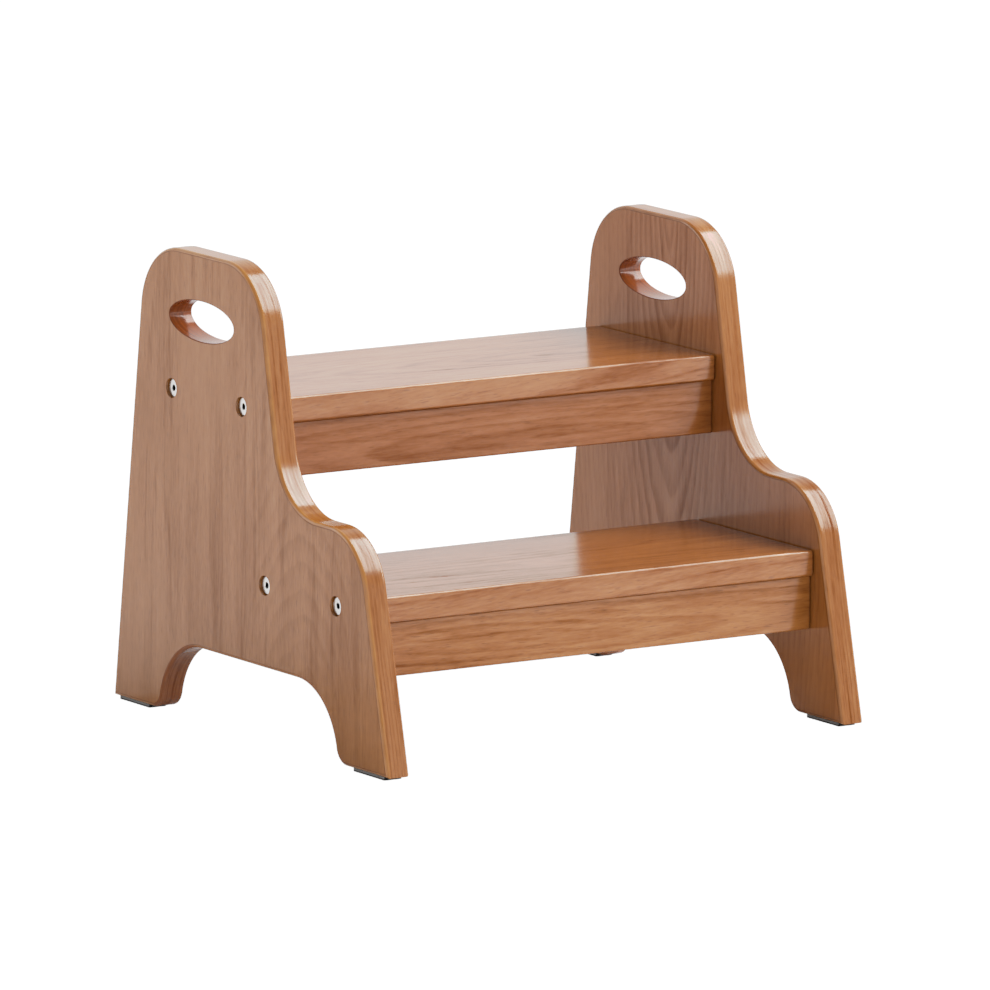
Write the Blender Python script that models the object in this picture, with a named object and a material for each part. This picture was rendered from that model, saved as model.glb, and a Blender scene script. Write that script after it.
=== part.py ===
"""Two-step wooden step stool, built from its separate boards, bolts, nuts, dowels and foot pads.

Units are metres.  +Z is up, -Y is the front and the stool's left side is at -X.
The origin is on the floor, under the middle of the stool.
"""

import math

import bmesh
import bpy
from mathutils import Matrix, Vector

# Overall sizes.
STOOL_WIDTH = 0.390
STOOL_DEPTH = 0.360
STOOL_HEIGHT = 0.330
BOARD = 0.018
GAP = 0.0003

# Side panel outline: corners as (y, z), each rounded with its own radius.
PAD_THICKNESS = 0.0025
SHOULDER_CORNER = (-0.142, 0.165)
SHOULDER_RADIUS = 0.048
NECK_CORNER = (-0.043, 0.165)
NECK_RADIUS = 0.054
TOP_FRONT_CORNER_Y = -0.0105
TOP_FRONT_RADIUS = 0.051
TOP_BACK_CORNER_Y = 0.1385
TOP_BACK_RADIUS = 0.050
PANEL_EDGE_RADIUS = 0.0025

# Arch between the legs: a level roof, a large hollow arc and a small round toe on each side.
ARCH_ROOF_Z = 0.0535
ARCH_ROOF_FRONT_Y = -0.062
ARCH_ROOF_BACK_Y = 0.064
ARCH_HOLLOW_RADIUS = 0.0526
ARCH_TOE_RADIUS = 0.013

# Hand slot through each side panel.
SLOT_CENTRE = (0.0625, 0.283)
SLOT_HALF_LENGTH = 0.0423
SLOT_HALF_HEIGHT = 0.0141
SLOT_EDGE_RADIUS = 0.0006

# Treads, each with an upright apron board under its front.
UPPER_STEP_HEIGHT = 0.240
LOWER_STEP_HEIGHT = 0.120
UPPER_TREAD_FRONT_Y = -0.0194
UPPER_TREAD_BACK_Y = 0.1316
LOWER_TREAD_FRONT_Y = -0.1442
LOWER_TREAD_BACK_Y = 0.0040
APRON_HEIGHT = 0.038
APRON_SETBACK = 0.0037
BOARD_EDGE_RADIUS = 0.0018
APRON_EDGE_RADIUS = 0.0010

# Connector bolts through the side panels into cross dowel nuts in the treads.
BOLT_SPACING = 0.0922
UPPER_BOLT_MIDDLE_Y = 0.0563
LOWER_BOLT_MIDDLE_Y = -0.0667
BOLT_LENGTH = 0.050
SHANK_RADIUS = 0.0029
HEAD_RADIUS = 0.0063
HEAD_THICKNESS = 0.0028
HEAD_DEPTH = 0.0020
SOCKET_ACROSS_FLATS = 0.004
SOCKET_DEPTH = 0.0020
COUNTERBORE_RADIUS = 0.0069
NUT_RADIUS = 0.0049
NUT_LENGTH = 0.013
NUT_FROM_TREAD_END = 0.030
NUT_SLOT_WIDTH = 0.0014
NUT_SLOT_DEPTH = 0.0015

# Wooden dowels, as (radius, length).
TREAD_DOWEL = (0.0040, 0.030)
APRON_END_DOWEL = (0.0040, 0.030)
APRON_TOP_DOWEL = (0.0030, 0.024)
PANEL_DOWEL_DEPTH = 0.0115
TREAD_DOWEL_DEPTH = 0.0095
APRON_TOP_DOWEL_SPACING = 0.120
DOWEL_CHAMFER = 0.0008

# Foot pads under the legs.
PAD_LENGTH = 0.040
PAD_WIDTH = 0.0142
PAD_CORNER_RADIUS = 0.0012
FRONT_PAD_Y = -0.1530
BACK_PAD_Y = 0.1550

# Faceting.
ARC_STEP = math.radians(8.0)
SLOT_SIDES = 32
HEAD_SIDES = 24
HOLE_SIDES = 16
DOWEL_SIDES = 12
SHARP_ANGLE = math.radians(35.0)

# Worked out from the above.
HALF_WIDTH = STOOL_WIDTH / 2
HALF_DEPTH = STOOL_DEPTH / 2
PANEL_INNER_X = HALF_WIDTH - BOARD
TREAD_HALF_LENGTH = PANEL_INNER_X - GAP
SEAT_DEPTH = HEAD_DEPTH + HEAD_THICKNESS + GAP
DRILL_OVERRUN = 0.002
SIDES = {"left": -1, "right": 1}

# Each step as its tread's front and back, its height, and the middle of its pair of bolts.
STEPS = {
    "upper": (UPPER_TREAD_FRONT_Y, UPPER_TREAD_BACK_Y, UPPER_STEP_HEIGHT, UPPER_BOLT_MIDDLE_Y),
    "lower": (LOWER_TREAD_FRONT_Y, LOWER_TREAD_BACK_Y, LOWER_STEP_HEIGHT, LOWER_BOLT_MIDDLE_Y),
}


# Scene and materials ------------------------------------------------------------------------

def clear_scene():
    """Remove whatever objects the file holds."""
    for thing in list(bpy.data.objects):
        bpy.data.objects.remove(thing, do_unlink=True)


def make_material(name, colour, roughness, metallic=0.0):
    """A plain Principled BSDF material."""
    material = bpy.data.materials.new(name)
    material.use_nodes = True
    shader = material.node_tree.nodes["Principled BSDF"]
    shader.inputs["Base Color"].default_value = (*colour, 1.0)
    shader.inputs["Roughness"].default_value = roughness
    shader.inputs["Metallic"].default_value = metallic
    return material


def panel_wood():
    """Lacquered reddish-brown wood of the side panels."""
    return make_material("panel_wood", (0.36, 0.17, 0.085), 0.22)


def tread_wood():
    """The same wood on the treads, a little lighter."""
    return make_material("tread_wood", (0.42, 0.20, 0.095), 0.22)


def apron_wood():
    """The same wood on the aprons, a little darker."""
    return make_material("apron_wood", (0.33, 0.145, 0.07), 0.25)


def dowel_wood():
    """Pale unfinished beech."""
    return make_material("dowel_wood", (0.62, 0.45, 0.28), 0.6)


def bolt_steel():
    """Bright nickel-plated steel."""
    return make_material("bolt_steel", (0.68, 0.68, 0.67), 0.25, 1.0)


def nut_steel():
    """Duller zinc-plated steel."""
    return make_material("nut_steel", (0.55, 0.56, 0.57), 0.38, 1.0)


def pad_rubber():
    """Black rubber."""
    return make_material("pad_rubber", (0.02, 0.02, 0.021), 0.7)


# Mesh helpers -------------------------------------------------------------------------------

def add_object(name, mesh, material=None):
    """Put a mesh in the scene as an object, shaded smooth between its sharp edges."""
    thing = bpy.data.objects.new(name, mesh)
    bpy.context.scene.collection.objects.link(thing)
    mesh.shade_smooth()
    mesh.set_sharp_from_angle(angle=SHARP_ANGLE)
    if material is not None and not mesh.materials:
        mesh.materials.append(material)
    return thing


def mesh_from(bm, name):
    """Close a bmesh into a mesh whose faces point out."""
    bmesh.ops.recalc_face_normals(bm, faces=bm.faces)
    mesh = bpy.data.meshes.new(name)
    bm.to_mesh(mesh)
    bm.free()
    return mesh


def rounded_outline(corners, step=ARC_STEP):
    """Points of a closed outline whose corners, (point, radius), are rounded by tangent arcs."""
    points = []
    for index, (corner, radius) in enumerate(corners):
        here = Vector(corner)
        if radius == 0:
            points.append(here)
            continue
        towards_last = (Vector(corners[index - 1][0]) - here).normalized()
        towards_next = (Vector(corners[(index + 1) % len(corners)][0]) - here).normalized()
        half_angle = towards_last.angle(towards_next) / 2
        centre = here + (towards_last + towards_next).normalized() * radius / math.sin(half_angle)
        first = here + towards_last * radius / math.tan(half_angle) - centre
        turn = first.angle_signed(here + towards_next * radius / math.tan(half_angle) - centre)
        count = max(2, round(abs(turn) / step))
        for number in range(count + 1):
            spoke = Matrix.Rotation(-turn * number / count, 2) @ first
            points.append(centre + spoke)
    return points


def ellipse_outline(centre, half_length, half_height, sides):
    """Points of an ellipse that lies along the first axis."""
    angles = [2 * math.pi * number / sides for number in range(sides)]
    return [
        Vector((centre[0] + half_length * math.cos(a), centre[1] + half_height * math.sin(a)))
        for a in angles
    ]


def pierced_slab(name, outline, hole, thickness, edge_radius, hole_radius):
    """A slab along X with a (y, z) outline, a hole through it and rounded rims, centred on x = 0."""
    bm = bmesh.new()
    for loop in (outline, hole):
        ring = [bm.verts.new((-thickness / 2, y, z)) for y, z in loop]
        for number, corner in enumerate(ring):
            bm.edges.new((ring[number - 1], corner))
    bmesh.ops.triangle_fill(bm, edges=bm.edges[:], use_beauty=True)
    extruded = bmesh.ops.extrude_face_region(bm, geom=bm.faces[:])
    moved = [item for item in extruded["geom"] if isinstance(item, bmesh.types.BMVert)]
    bmesh.ops.translate(bm, verts=moved, vec=(thickness, 0, 0))
    bmesh.ops.recalc_face_normals(bm, faces=bm.faces)
    for radius, round_hole in ((edge_radius, False), (hole_radius, True)):
        rims = [edge for edge in bm.edges if is_rim(edge) and is_beside(edge, hole) == round_hole]
        bmesh.ops.bevel(bm, geom=rims, offset=radius, segments=2, profile=0.5, affect="EDGES")
    return mesh_from(bm, name)


def is_beside(edge, loop):
    """Whether both ends of an edge lie over points of a (y, z) loop."""
    reach = GAP / 10
    return all(any(math.hypot(vert.co.y - y, vert.co.z - z) < reach for y, z in loop)
               for vert in edge.verts)


def is_rim(edge):
    """Whether an edge lies between a slab's broad face and its wall."""
    along_x = abs(edge.verts[0].co.x - edge.verts[1].co.x) > GAP
    return not along_x and edge.calc_face_angle() > SHARP_ANGLE


def block(name, length, depth, height):
    """A plain board, centred on its own origin."""
    bm = bmesh.new()
    bmesh.ops.create_cube(bm, size=1.0, matrix=Matrix.Diagonal((length, depth, height, 1)))
    return mesh_from(bm, name)


def add_turned(bm, profile, sides, place=None):
    """Add a solid turned about +Z from its profile, a list of (z, radius), and return its rings."""
    rings = []
    for z, radius in profile:
        ring = []
        for number in range(sides):
            angle = 2 * math.pi * number / sides
            ring.append(bm.verts.new((radius * math.cos(angle), radius * math.sin(angle), z)))
        rings.append(ring)
    for lower, upper in zip(rings, rings[1:]):
        add_wall(bm, lower, upper)
    bm.faces.new(reversed(rings[0]))
    bm.faces.new(rings[-1])
    if place is not None:
        bmesh.ops.transform(bm, matrix=place, verts=[v for ring in rings for v in ring])
    return rings


def add_wall(bm, lower, upper):
    """Join two rings of equal count with quads."""
    count = len(lower)
    for number in range(count):
        after = (number + 1) % count
        bm.faces.new((lower[number], lower[after], upper[after], upper[number]))


def rounded_edges(thing, radius, segments=2):
    """Round all the edges of a board."""
    bevel = thing.modifiers.new("rounded_edges", "BEVEL")
    bevel.width = radius
    bevel.segments = segments


def subtract(thing, cutter):
    """Cut one object from another, and keep the cutter only as a guide."""
    cutter.hide_render = True
    cutter.display_type = "WIRE"
    boolean = thing.modifiers.new(cutter.name, "BOOLEAN")
    boolean.operation = "DIFFERENCE"
    boolean.solver = "EXACT"
    boolean.object = cutter


def applied_mesh(thing, name):
    """The mesh that an object's modifiers give, for copies to share; the object goes."""
    bpy.context.view_layer.update()
    evaluated = thing.evaluated_get(bpy.context.evaluated_depsgraph_get())
    mesh = bpy.data.meshes.new_from_object(evaluated)
    mesh.name = name
    for modifier in thing.modifiers:
        if modifier.type == "BOOLEAN":
            bpy.data.objects.remove(modifier.object, do_unlink=True)
    bpy.data.objects.remove(thing, do_unlink=True)
    return mesh


def aim_along_x(side):
    """Rotation that turns local +Z to point out of the stool's given side."""
    return Matrix.Rotation(side * math.pi / 2, 4, "Y")


def plain_hole(radius, depth):
    """Profile of a straight drill that enters at z = 0 and goes down by its depth."""
    return [(-depth, radius), (DRILL_OVERRUN, radius)]


# Places shared by the pieces and their holes ------------------------------------------------

def bolt_places():
    """Name and (y, z) of each bolt on one side of the stool."""
    places = {}
    for step, (_, _, height, middle) in STEPS.items():
        for end, sign in (("front", -1), ("back", 1)):
            places[f"{step}_{end}"] = (middle + sign * BOLT_SPACING / 2, height - BOARD / 2)
    return places


def tread_dowel_places():
    """Name and (y, z) of the dowel at one end of each tread."""
    return {step: (middle, height - BOARD / 2) for step, (_, _, height, middle) in STEPS.items()}


def apron_y(front):
    """Middle of an apron board, from its tread's front edge."""
    return front + APRON_SETBACK + BOARD / 2


def apron_dowel_places():
    """Name and (y, z) of the dowel at one end of each apron."""
    places = {}
    for step, (front, _, height, _) in STEPS.items():
        places[step] = (apron_y(front), height - BOARD - APRON_HEIGHT / 2)
    return places


def apron_top_dowel_xs():
    """Name and x of the dowels between an apron and its tread."""
    return {"left": -APRON_TOP_DOWEL_SPACING, "middle": 0.0, "right": APRON_TOP_DOWEL_SPACING}


# Side panels --------------------------------------------------------------------------------

def arch_corners():
    """Corners of the arch from the back leg's toe to the front leg's toe."""
    rise = ARCH_ROOF_Z - PAD_THICKNESS
    turn = math.acos(1 - rise / (ARCH_HOLLOW_RADIUS + ARCH_TOE_RADIUS))
    hollow_reach = ARCH_HOLLOW_RADIUS * math.tan(turn / 2)
    lean = rise / math.tan(turn)
    back_roof = ARCH_ROOF_BACK_Y + hollow_reach
    front_roof = ARCH_ROOF_FRONT_Y - hollow_reach
    # The two arcs of each leg are tangent, so their radii are a hair under the full value.
    toe = ARCH_TOE_RADIUS * 0.998
    hollow = ARCH_HOLLOW_RADIUS * 0.998
    return [
        ((back_roof + lean, PAD_THICKNESS), toe),
        ((back_roof, ARCH_ROOF_Z), hollow),
        ((front_roof, ARCH_ROOF_Z), hollow),
        ((front_roof - lean, PAD_THICKNESS), toe),
    ]


def panel_outline():
    """The side panel's outline, from the front foot up over the top and back through the arch."""
    corners = [
        ((-HALF_DEPTH, PAD_THICKNESS), 0),
        (SHOULDER_CORNER, SHOULDER_RADIUS),
        (NECK_CORNER, NECK_RADIUS),
        ((TOP_FRONT_CORNER_Y, STOOL_HEIGHT), TOP_FRONT_RADIUS),
        ((TOP_BACK_CORNER_Y, STOOL_HEIGHT), TOP_BACK_RADIUS),
        ((HALF_DEPTH, PAD_THICKNESS), 0),
    ]
    return rounded_outline(corners + arch_corners())


def bolt_hole():
    """Profile of a bolt's counterbore and clearance hole, entering the outer face at z = 0."""
    clearance = SHANK_RADIUS + GAP
    return [
        (-BOARD - DRILL_OVERRUN, clearance),
        (-SEAT_DEPTH, clearance),
        (-SEAT_DEPTH, COUNTERBORE_RADIUS),
        (DRILL_OVERRUN, COUNTERBORE_RADIUS),
    ]


def panel_drills(side_name, side):
    """Every hole drilled in one side panel, as one cutter."""
    bm = bmesh.new()
    for y, z in bolt_places().values():
        place = Matrix.Translation((side * HALF_WIDTH, y, z)) @ aim_along_x(side)
        add_turned(bm, bolt_hole(), HOLE_SIDES, place)
    dowels = ((TREAD_DOWEL, tread_dowel_places()), (APRON_END_DOWEL, apron_dowel_places()))
    for (radius, _), places in dowels:
        for y, z in places.values():
            place = Matrix.Translation((side * PANEL_INNER_X, y, z)) @ aim_along_x(-side)
            profile = plain_hole(radius + GAP, PANEL_DOWEL_DEPTH + GAP)
            add_turned(bm, profile, DOWEL_SIDES, place)
    return add_object(f"panel_drills_{side_name}", mesh_from(bm, "panel_drills"))


def build_side_panel(side_name, side, material):
    """One side panel with its hand slot, rounded edges and drilled holes."""
    slot = ellipse_outline(SLOT_CENTRE, SLOT_HALF_LENGTH, SLOT_HALF_HEIGHT, SLOT_SIDES)
    mesh = pierced_slab("side_panel", panel_outline(), slot, BOARD, PANEL_EDGE_RADIUS,
                        SLOT_EDGE_RADIUS)
    panel = add_object(f"side_panel_{side_name}", mesh, material)
    panel.location.x = side * (HALF_WIDTH - BOARD / 2)
    subtract(panel, panel_drills(side_name, side))
    return panel


# Treads and aprons --------------------------------------------------------------------------

def tread_end_drills(step):
    """Bolt and dowel holes in both ends of a tread, as one cutter."""
    bm = bmesh.new()
    bolt_depth = BOLT_LENGTH + SEAT_DEPTH - BOARD + 0.002
    dowel_depth = TREAD_DOWEL[1] - PANEL_DOWEL_DEPTH + GAP
    for side in SIDES.values():
        for name, (y, z) in bolt_places().items():
            if name.startswith(step):
                place = Matrix.Translation((side * TREAD_HALF_LENGTH, y, z)) @ aim_along_x(side)
                add_turned(bm, plain_hole(SHANK_RADIUS + GAP, bolt_depth), HOLE_SIDES, place)
        y, z = tread_dowel_places()[step]
        place = Matrix.Translation((side * TREAD_HALF_LENGTH, y, z)) @ aim_along_x(side)
        add_turned(bm, plain_hole(TREAD_DOWEL[0] + GAP, dowel_depth), DOWEL_SIDES, place)
    return add_object(f"tread_end_drills_{step}", mesh_from(bm, "tread_end_drills"))


def nut_x(side):
    """X of the cross dowel nuts at one end of the treads."""
    return side * (TREAD_HALF_LENGTH - NUT_FROM_TREAD_END)


def tread_underside_drills(step):
    """Nut and apron dowel holes in a tread's underside, as one cutter."""
    front, _, height, _ = STEPS[step]
    underside = height - BOARD
    upward = Matrix.Rotation(math.pi, 4, "X")
    bm = bmesh.new()
    nut_depth = (BOARD + NUT_LENGTH) / 2 + GAP
    for side in SIDES.values():
        for name, (y, _) in bolt_places().items():
            if name.startswith(step):
                place = Matrix.Translation((nut_x(side), y, underside)) @ upward
                add_turned(bm, plain_hole(NUT_RADIUS + GAP, nut_depth), HOLE_SIDES, place)
    for x in apron_top_dowel_xs().values():
        place = Matrix.Translation((x, apron_y(front), underside)) @ upward
        profile = plain_hole(APRON_TOP_DOWEL[0] + GAP, TREAD_DOWEL_DEPTH + GAP)
        add_turned(bm, profile, DOWEL_SIDES, place)
    return add_object(f"tread_underside_drills_{step}", mesh_from(bm, "tread_underside_drills"))


def build_tread(step, material):
    """One tread board, drilled for its bolts, nuts and dowels."""
    front, back, height, _ = STEPS[step]
    mesh = block(f"{step}_tread", 2 * TREAD_HALF_LENGTH, back - front, BOARD)
    tread = add_object(f"{step}_tread", mesh, material)
    tread.location = (0, (front + back) / 2, height - BOARD / 2)
    rounded_edges(tread, BOARD_EDGE_RADIUS)
    subtract(tread, tread_end_drills(step))
    subtract(tread, tread_underside_drills(step))
    return tread


def apron_drills(step):
    """Dowel holes in an apron's ends and top, as one cutter."""
    front, _, height, _ = STEPS[step]
    bm = bmesh.new()
    end_depth = APRON_END_DOWEL[1] - PANEL_DOWEL_DEPTH + GAP
    y, z = apron_dowel_places()[step]
    for side in SIDES.values():
        place = Matrix.Translation((side * TREAD_HALF_LENGTH, y, z)) @ aim_along_x(side)
        add_turned(bm, plain_hole(APRON_END_DOWEL[0] + GAP, end_depth), DOWEL_SIDES, place)
    top_depth = APRON_TOP_DOWEL[1] - TREAD_DOWEL_DEPTH + GAP
    for x in apron_top_dowel_xs().values():
        place = Matrix.Translation((x, apron_y(front), height - BOARD - GAP))
        add_turned(bm, plain_hole(APRON_TOP_DOWEL[0] + GAP, top_depth), DOWEL_SIDES, place)
    return add_object(f"apron_drills_{step}", mesh_from(bm, "apron_drills"))


def build_apron(step, material):
    """One apron board, which stands under the front of its tread."""
    front, _, height, _ = STEPS[step]
    mesh = block(f"{step}_apron", 2 * TREAD_HALF_LENGTH, BOARD, APRON_HEIGHT - GAP)
    apron = add_object(f"{step}_apron", mesh, material)
    apron.location = (0, apron_y(front), height - BOARD - (APRON_HEIGHT + GAP) / 2)
    rounded_edges(apron, APRON_EDGE_RADIUS, segments=1)
    subtract(apron, apron_drills(step))
    return apron


# Bolts and nuts -----------------------------------------------------------------------------

def bolt_mesh():
    """A flat-headed connector bolt: its head's face is at z = 0 and its shank points down."""
    bm = bmesh.new()
    chamfer = 0.0004
    tip = HEAD_THICKNESS + BOLT_LENGTH
    profile = [
        (-tip, SHANK_RADIUS - 2 * chamfer),
        (-tip + 2 * chamfer, SHANK_RADIUS),
        (-HEAD_THICKNESS, SHANK_RADIUS),
        (-HEAD_THICKNESS, HEAD_RADIUS),
        (-chamfer, HEAD_RADIUS),
        (0.0, HEAD_RADIUS - chamfer),
    ]
    rings = add_turned(bm, profile, HEAD_SIDES)
    add_hex_socket(bm, rings[-1])
    return mesh_from(bm, "tread_bolt")


def add_hex_socket(bm, rim):
    """Replace the flat face inside a rim, which has four edges per hexagon side, by a socket."""
    bm.faces.remove(bm.faces.get(rim))
    radius = SOCKET_ACROSS_FLATS / math.sqrt(3)
    mouth = []
    floor = []
    for number in range(6):
        angle = math.pi * number / 3
        point = (radius * math.cos(angle), radius * math.sin(angle))
        mouth.append(bm.verts.new((*point, 0.0)))
        floor.append(bm.verts.new((*point, -SOCKET_DEPTH)))
    share = len(rim) // 6
    for number in range(6):
        after = (number + 1) % 6
        arc = [rim[(number * share + k) % len(rim)] for k in range(share + 1)]
        bm.faces.new((*arc, mouth[after], mouth[number]))
    add_wall(bm, floor, mouth)
    bm.faces.new(floor)


def build_bolts(material):
    """Two bolts through each side panel into each tread."""
    mesh = bolt_mesh()
    for side_name, side in SIDES.items():
        for name, (y, z) in bolt_places().items():
            bolt = add_object(f"tread_bolt_{side_name}_{name}", mesh, material)
            bolt.location = (side * (HALF_WIDTH - HEAD_DEPTH), y, z)
            bolt.rotation_euler = (0, side * math.pi / 2, 0)


def nut_mesh(material):
    """A cross dowel nut: a short round bar with a bolt hole across it and a slot in its foot."""
    bm = bmesh.new()
    chamfer = 0.0005
    half = NUT_LENGTH / 2
    profile = [
        (-half, NUT_RADIUS - chamfer),
        (-half + chamfer, NUT_RADIUS),
        (half - chamfer, NUT_RADIUS),
        (half, NUT_RADIUS - chamfer),
    ]
    add_turned(bm, profile, DOWEL_SIDES)
    nut = add_object("nut_blank", mesh_from(bm, "nut_blank"), material)
    bm = bmesh.new()
    across = Matrix.Rotation(math.pi / 2, 4, "Y")
    reach = 2 * NUT_RADIUS
    add_turned(bm, [(-reach, SHANK_RADIUS + GAP), (reach, SHANK_RADIUS + GAP)], DOWEL_SIDES, across)
    subtract(nut, add_object("nut_cross_hole", mesh_from(bm, "nut_cross_hole")))
    slot = add_object("nut_slot", block("nut_slot", 2 * reach, NUT_SLOT_WIDTH, 2 * NUT_SLOT_DEPTH))
    slot.location.z = -half
    subtract(nut, slot)
    return applied_mesh(nut, "barrel_nut")


def build_nuts(material):
    """One cross dowel nut for each bolt, set in the tread's underside."""
    mesh = nut_mesh(material)
    for side_name, side in SIDES.items():
        for name, (y, z) in bolt_places().items():
            nut = add_object(f"barrel_nut_{side_name}_{name}", mesh)
            nut.location = (nut_x(side), y, z)


# Wooden dowels ------------------------------------------------------------------------------

def dowel_mesh(name, size):
    """A round peg with chamfered ends, centred on its own origin and lying along Z."""
    radius, length = size
    half = length / 2
    bm = bmesh.new()
    profile = [
        (-half, radius - DOWEL_CHAMFER),
        (-half + DOWEL_CHAMFER, radius),
        (half - DOWEL_CHAMFER, radius),
        (half, radius - DOWEL_CHAMFER),
    ]
    add_turned(bm, profile, DOWEL_SIDES)
    return mesh_from(bm, name)


def build_end_dowels(kind, size, places, material):
    """Dowels that run from the side panels into the ends of a board."""
    mesh = dowel_mesh(kind, size)
    for side_name, side in SIDES.items():
        for step, (y, z) in places.items():
            dowel = add_object(f"{kind}_{side_name}_{step}", mesh, material)
            x = PANEL_INNER_X + PANEL_DOWEL_DEPTH - size[1] / 2
            dowel.location = (side * x, y, z)
            dowel.rotation_euler = (0, math.pi / 2, 0)


def build_apron_top_dowels(material):
    """Dowels that run from each apron up into its tread."""
    mesh = dowel_mesh("apron_top_dowel", APRON_TOP_DOWEL)
    for step, (front, _, height, _) in STEPS.items():
        for name, x in apron_top_dowel_xs().items():
            dowel = add_object(f"apron_top_dowel_{step}_{name}", mesh, material)
            top = height - BOARD + TREAD_DOWEL_DEPTH
            dowel.location = (x, apron_y(front), top - APRON_TOP_DOWEL[1] / 2)


# Foot pads ----------------------------------------------------------------------------------

def pad_mesh():
    """A flat strip of rubber with rounded corners, standing on its own origin."""
    half_width = PAD_WIDTH / 2
    half_length = PAD_LENGTH / 2
    corners = [
        ((-half_width, -half_length), PAD_CORNER_RADIUS),
        ((-half_width, half_length), PAD_CORNER_RADIUS),
        ((half_width, half_length), PAD_CORNER_RADIUS),
        ((half_width, -half_length), PAD_CORNER_RADIUS),
    ]
    bm = bmesh.new()
    outline = rounded_outline(corners, math.radians(30))
    bottom = [bm.verts.new((x, y, 0.0)) for x, y in outline]
    top = [bm.verts.new((x, y, PAD_THICKNESS - GAP)) for x, y in outline]
    add_wall(bm, bottom, top)
    bm.faces.new(bottom)
    bm.faces.new(top)
    return mesh_from(bm, "foot_pad")


def build_pads(material):
    """One pad under each of the four legs."""
    mesh = pad_mesh()
    for side_name, side in SIDES.items():
        for end, y in (("front", FRONT_PAD_Y), ("back", BACK_PAD_Y)):
            pad = add_object(f"foot_pad_{side_name}_{end}", mesh, material)
            pad.location = (side * (HALF_WIDTH - BOARD / 2), y, 0)


def build_stool():
    """The whole step stool."""
    clear_scene()
    panel_material = panel_wood()
    for side_name, side in SIDES.items():
        build_side_panel(side_name, side, panel_material)
    tread_material = tread_wood()
    apron_material = apron_wood()
    for step in STEPS:
        build_tread(step, tread_material)
        build_apron(step, apron_material)
    build_bolts(bolt_steel())
    build_nuts(nut_steel())
    dowel_material = dowel_wood()
    build_end_dowels("tread_dowel", TREAD_DOWEL, tread_dowel_places(), dowel_material)
    build_end_dowels("apron_end_dowel", APRON_END_DOWEL, apron_dowel_places(), dowel_material)
    build_apron_top_dowels(dowel_material)
    build_pads(pad_rubber())


build_stool()
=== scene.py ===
"""Looks of the two-step wooden step stool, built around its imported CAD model.

Every visible piece is rebuilt here as a fine mesh in the CAD frame: metres, +Z up, -Y the front.
"""

from functools import partialmethod
from itertools import product
import math

import bpy
from mathutils import Matrix, Vector
from mathutils.geometry import tessellate_polygon


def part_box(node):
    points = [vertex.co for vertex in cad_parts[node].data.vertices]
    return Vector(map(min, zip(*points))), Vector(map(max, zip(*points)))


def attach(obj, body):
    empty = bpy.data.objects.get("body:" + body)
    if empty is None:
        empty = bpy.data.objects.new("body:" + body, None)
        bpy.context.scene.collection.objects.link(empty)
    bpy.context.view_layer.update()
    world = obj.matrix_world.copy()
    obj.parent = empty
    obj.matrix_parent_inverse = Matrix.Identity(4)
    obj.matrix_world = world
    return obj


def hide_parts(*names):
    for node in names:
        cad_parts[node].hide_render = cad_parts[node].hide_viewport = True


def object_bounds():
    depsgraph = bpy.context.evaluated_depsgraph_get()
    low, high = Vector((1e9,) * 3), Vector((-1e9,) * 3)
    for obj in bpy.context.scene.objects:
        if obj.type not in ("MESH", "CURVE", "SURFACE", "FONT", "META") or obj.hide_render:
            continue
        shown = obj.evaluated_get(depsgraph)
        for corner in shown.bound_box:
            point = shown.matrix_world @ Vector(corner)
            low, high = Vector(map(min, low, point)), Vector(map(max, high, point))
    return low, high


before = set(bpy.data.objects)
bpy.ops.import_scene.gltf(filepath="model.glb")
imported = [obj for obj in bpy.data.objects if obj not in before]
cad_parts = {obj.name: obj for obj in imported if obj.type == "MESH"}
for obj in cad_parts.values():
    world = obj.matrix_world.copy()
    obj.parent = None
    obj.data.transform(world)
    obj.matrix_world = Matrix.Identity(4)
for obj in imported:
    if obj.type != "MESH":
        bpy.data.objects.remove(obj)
CAD_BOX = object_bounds()

# ---- Sizes read from the frame ----

PANEL_LOW, PANEL_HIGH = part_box("side_panel_right")
BOARD = PANEL_HIGH.x - PANEL_LOW.x
HALF_WIDTH = PANEL_HIGH.x
PANEL_INNER_X = PANEL_LOW.x
FOOT_Z = PANEL_LOW.z
TOP_Z = PANEL_HIGH.z
SIDES = {"left": -1, "right": 1}
STEPS = ("upper", "lower")
ENDS = ("front", "back")

# Side panel outline: corners as (y, z), each with its rounding radius.
SHOULDER = ((-0.142, 0.165), 0.048)
NECK = ((-0.043, 0.165), 0.054)
TOP_FRONT = ((-0.0105, TOP_Z), 0.051)
TOP_BACK = ((0.1385, TOP_Z), 0.050)
PANEL_ROUNDING = 0.0025
SLOT_ROUNDING = 0.0006
ARCH_ROOF_Z = 0.0535
ARCH_ROOF_Y = (-0.062, 0.064)
ARCH_HOLLOW_RADIUS = 0.0526
ARCH_TOE_RADIUS = 0.013
SLOT_CENTRE = (0.0625, 0.283)
SLOT_HALF_LENGTH = 0.0423
SLOT_HALF_HEIGHT = 0.0141

# Boards.
TREAD_ROUNDING = 0.0018
APRON_ROUNDING = 0.0010

# Holes and fasteners.
LIP = 0.00025
COUNTERBORE_RADIUS = 0.0069
HEAD_DEPTH = 0.0020
HEAD_THICKNESS = 0.0028
COUNTERBORE_DEPTH = HEAD_DEPTH + HEAD_THICKNESS + 0.0003
BOLT_HOLE_RADIUS = 0.0032
NUT_HOLE_RADIUS = 0.0052
NUT_HOLE_DEPTH = 0.0158
PEG_CLEARANCE = 0.0003

# Finish of the meshes.
ARC_STEP = math.radians(2.5)
ROUND_SEGMENTS = 6
CIRCLE_SIDES = 48
HOLE_SIDES = 24


# ---- Mesh making ----

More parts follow.
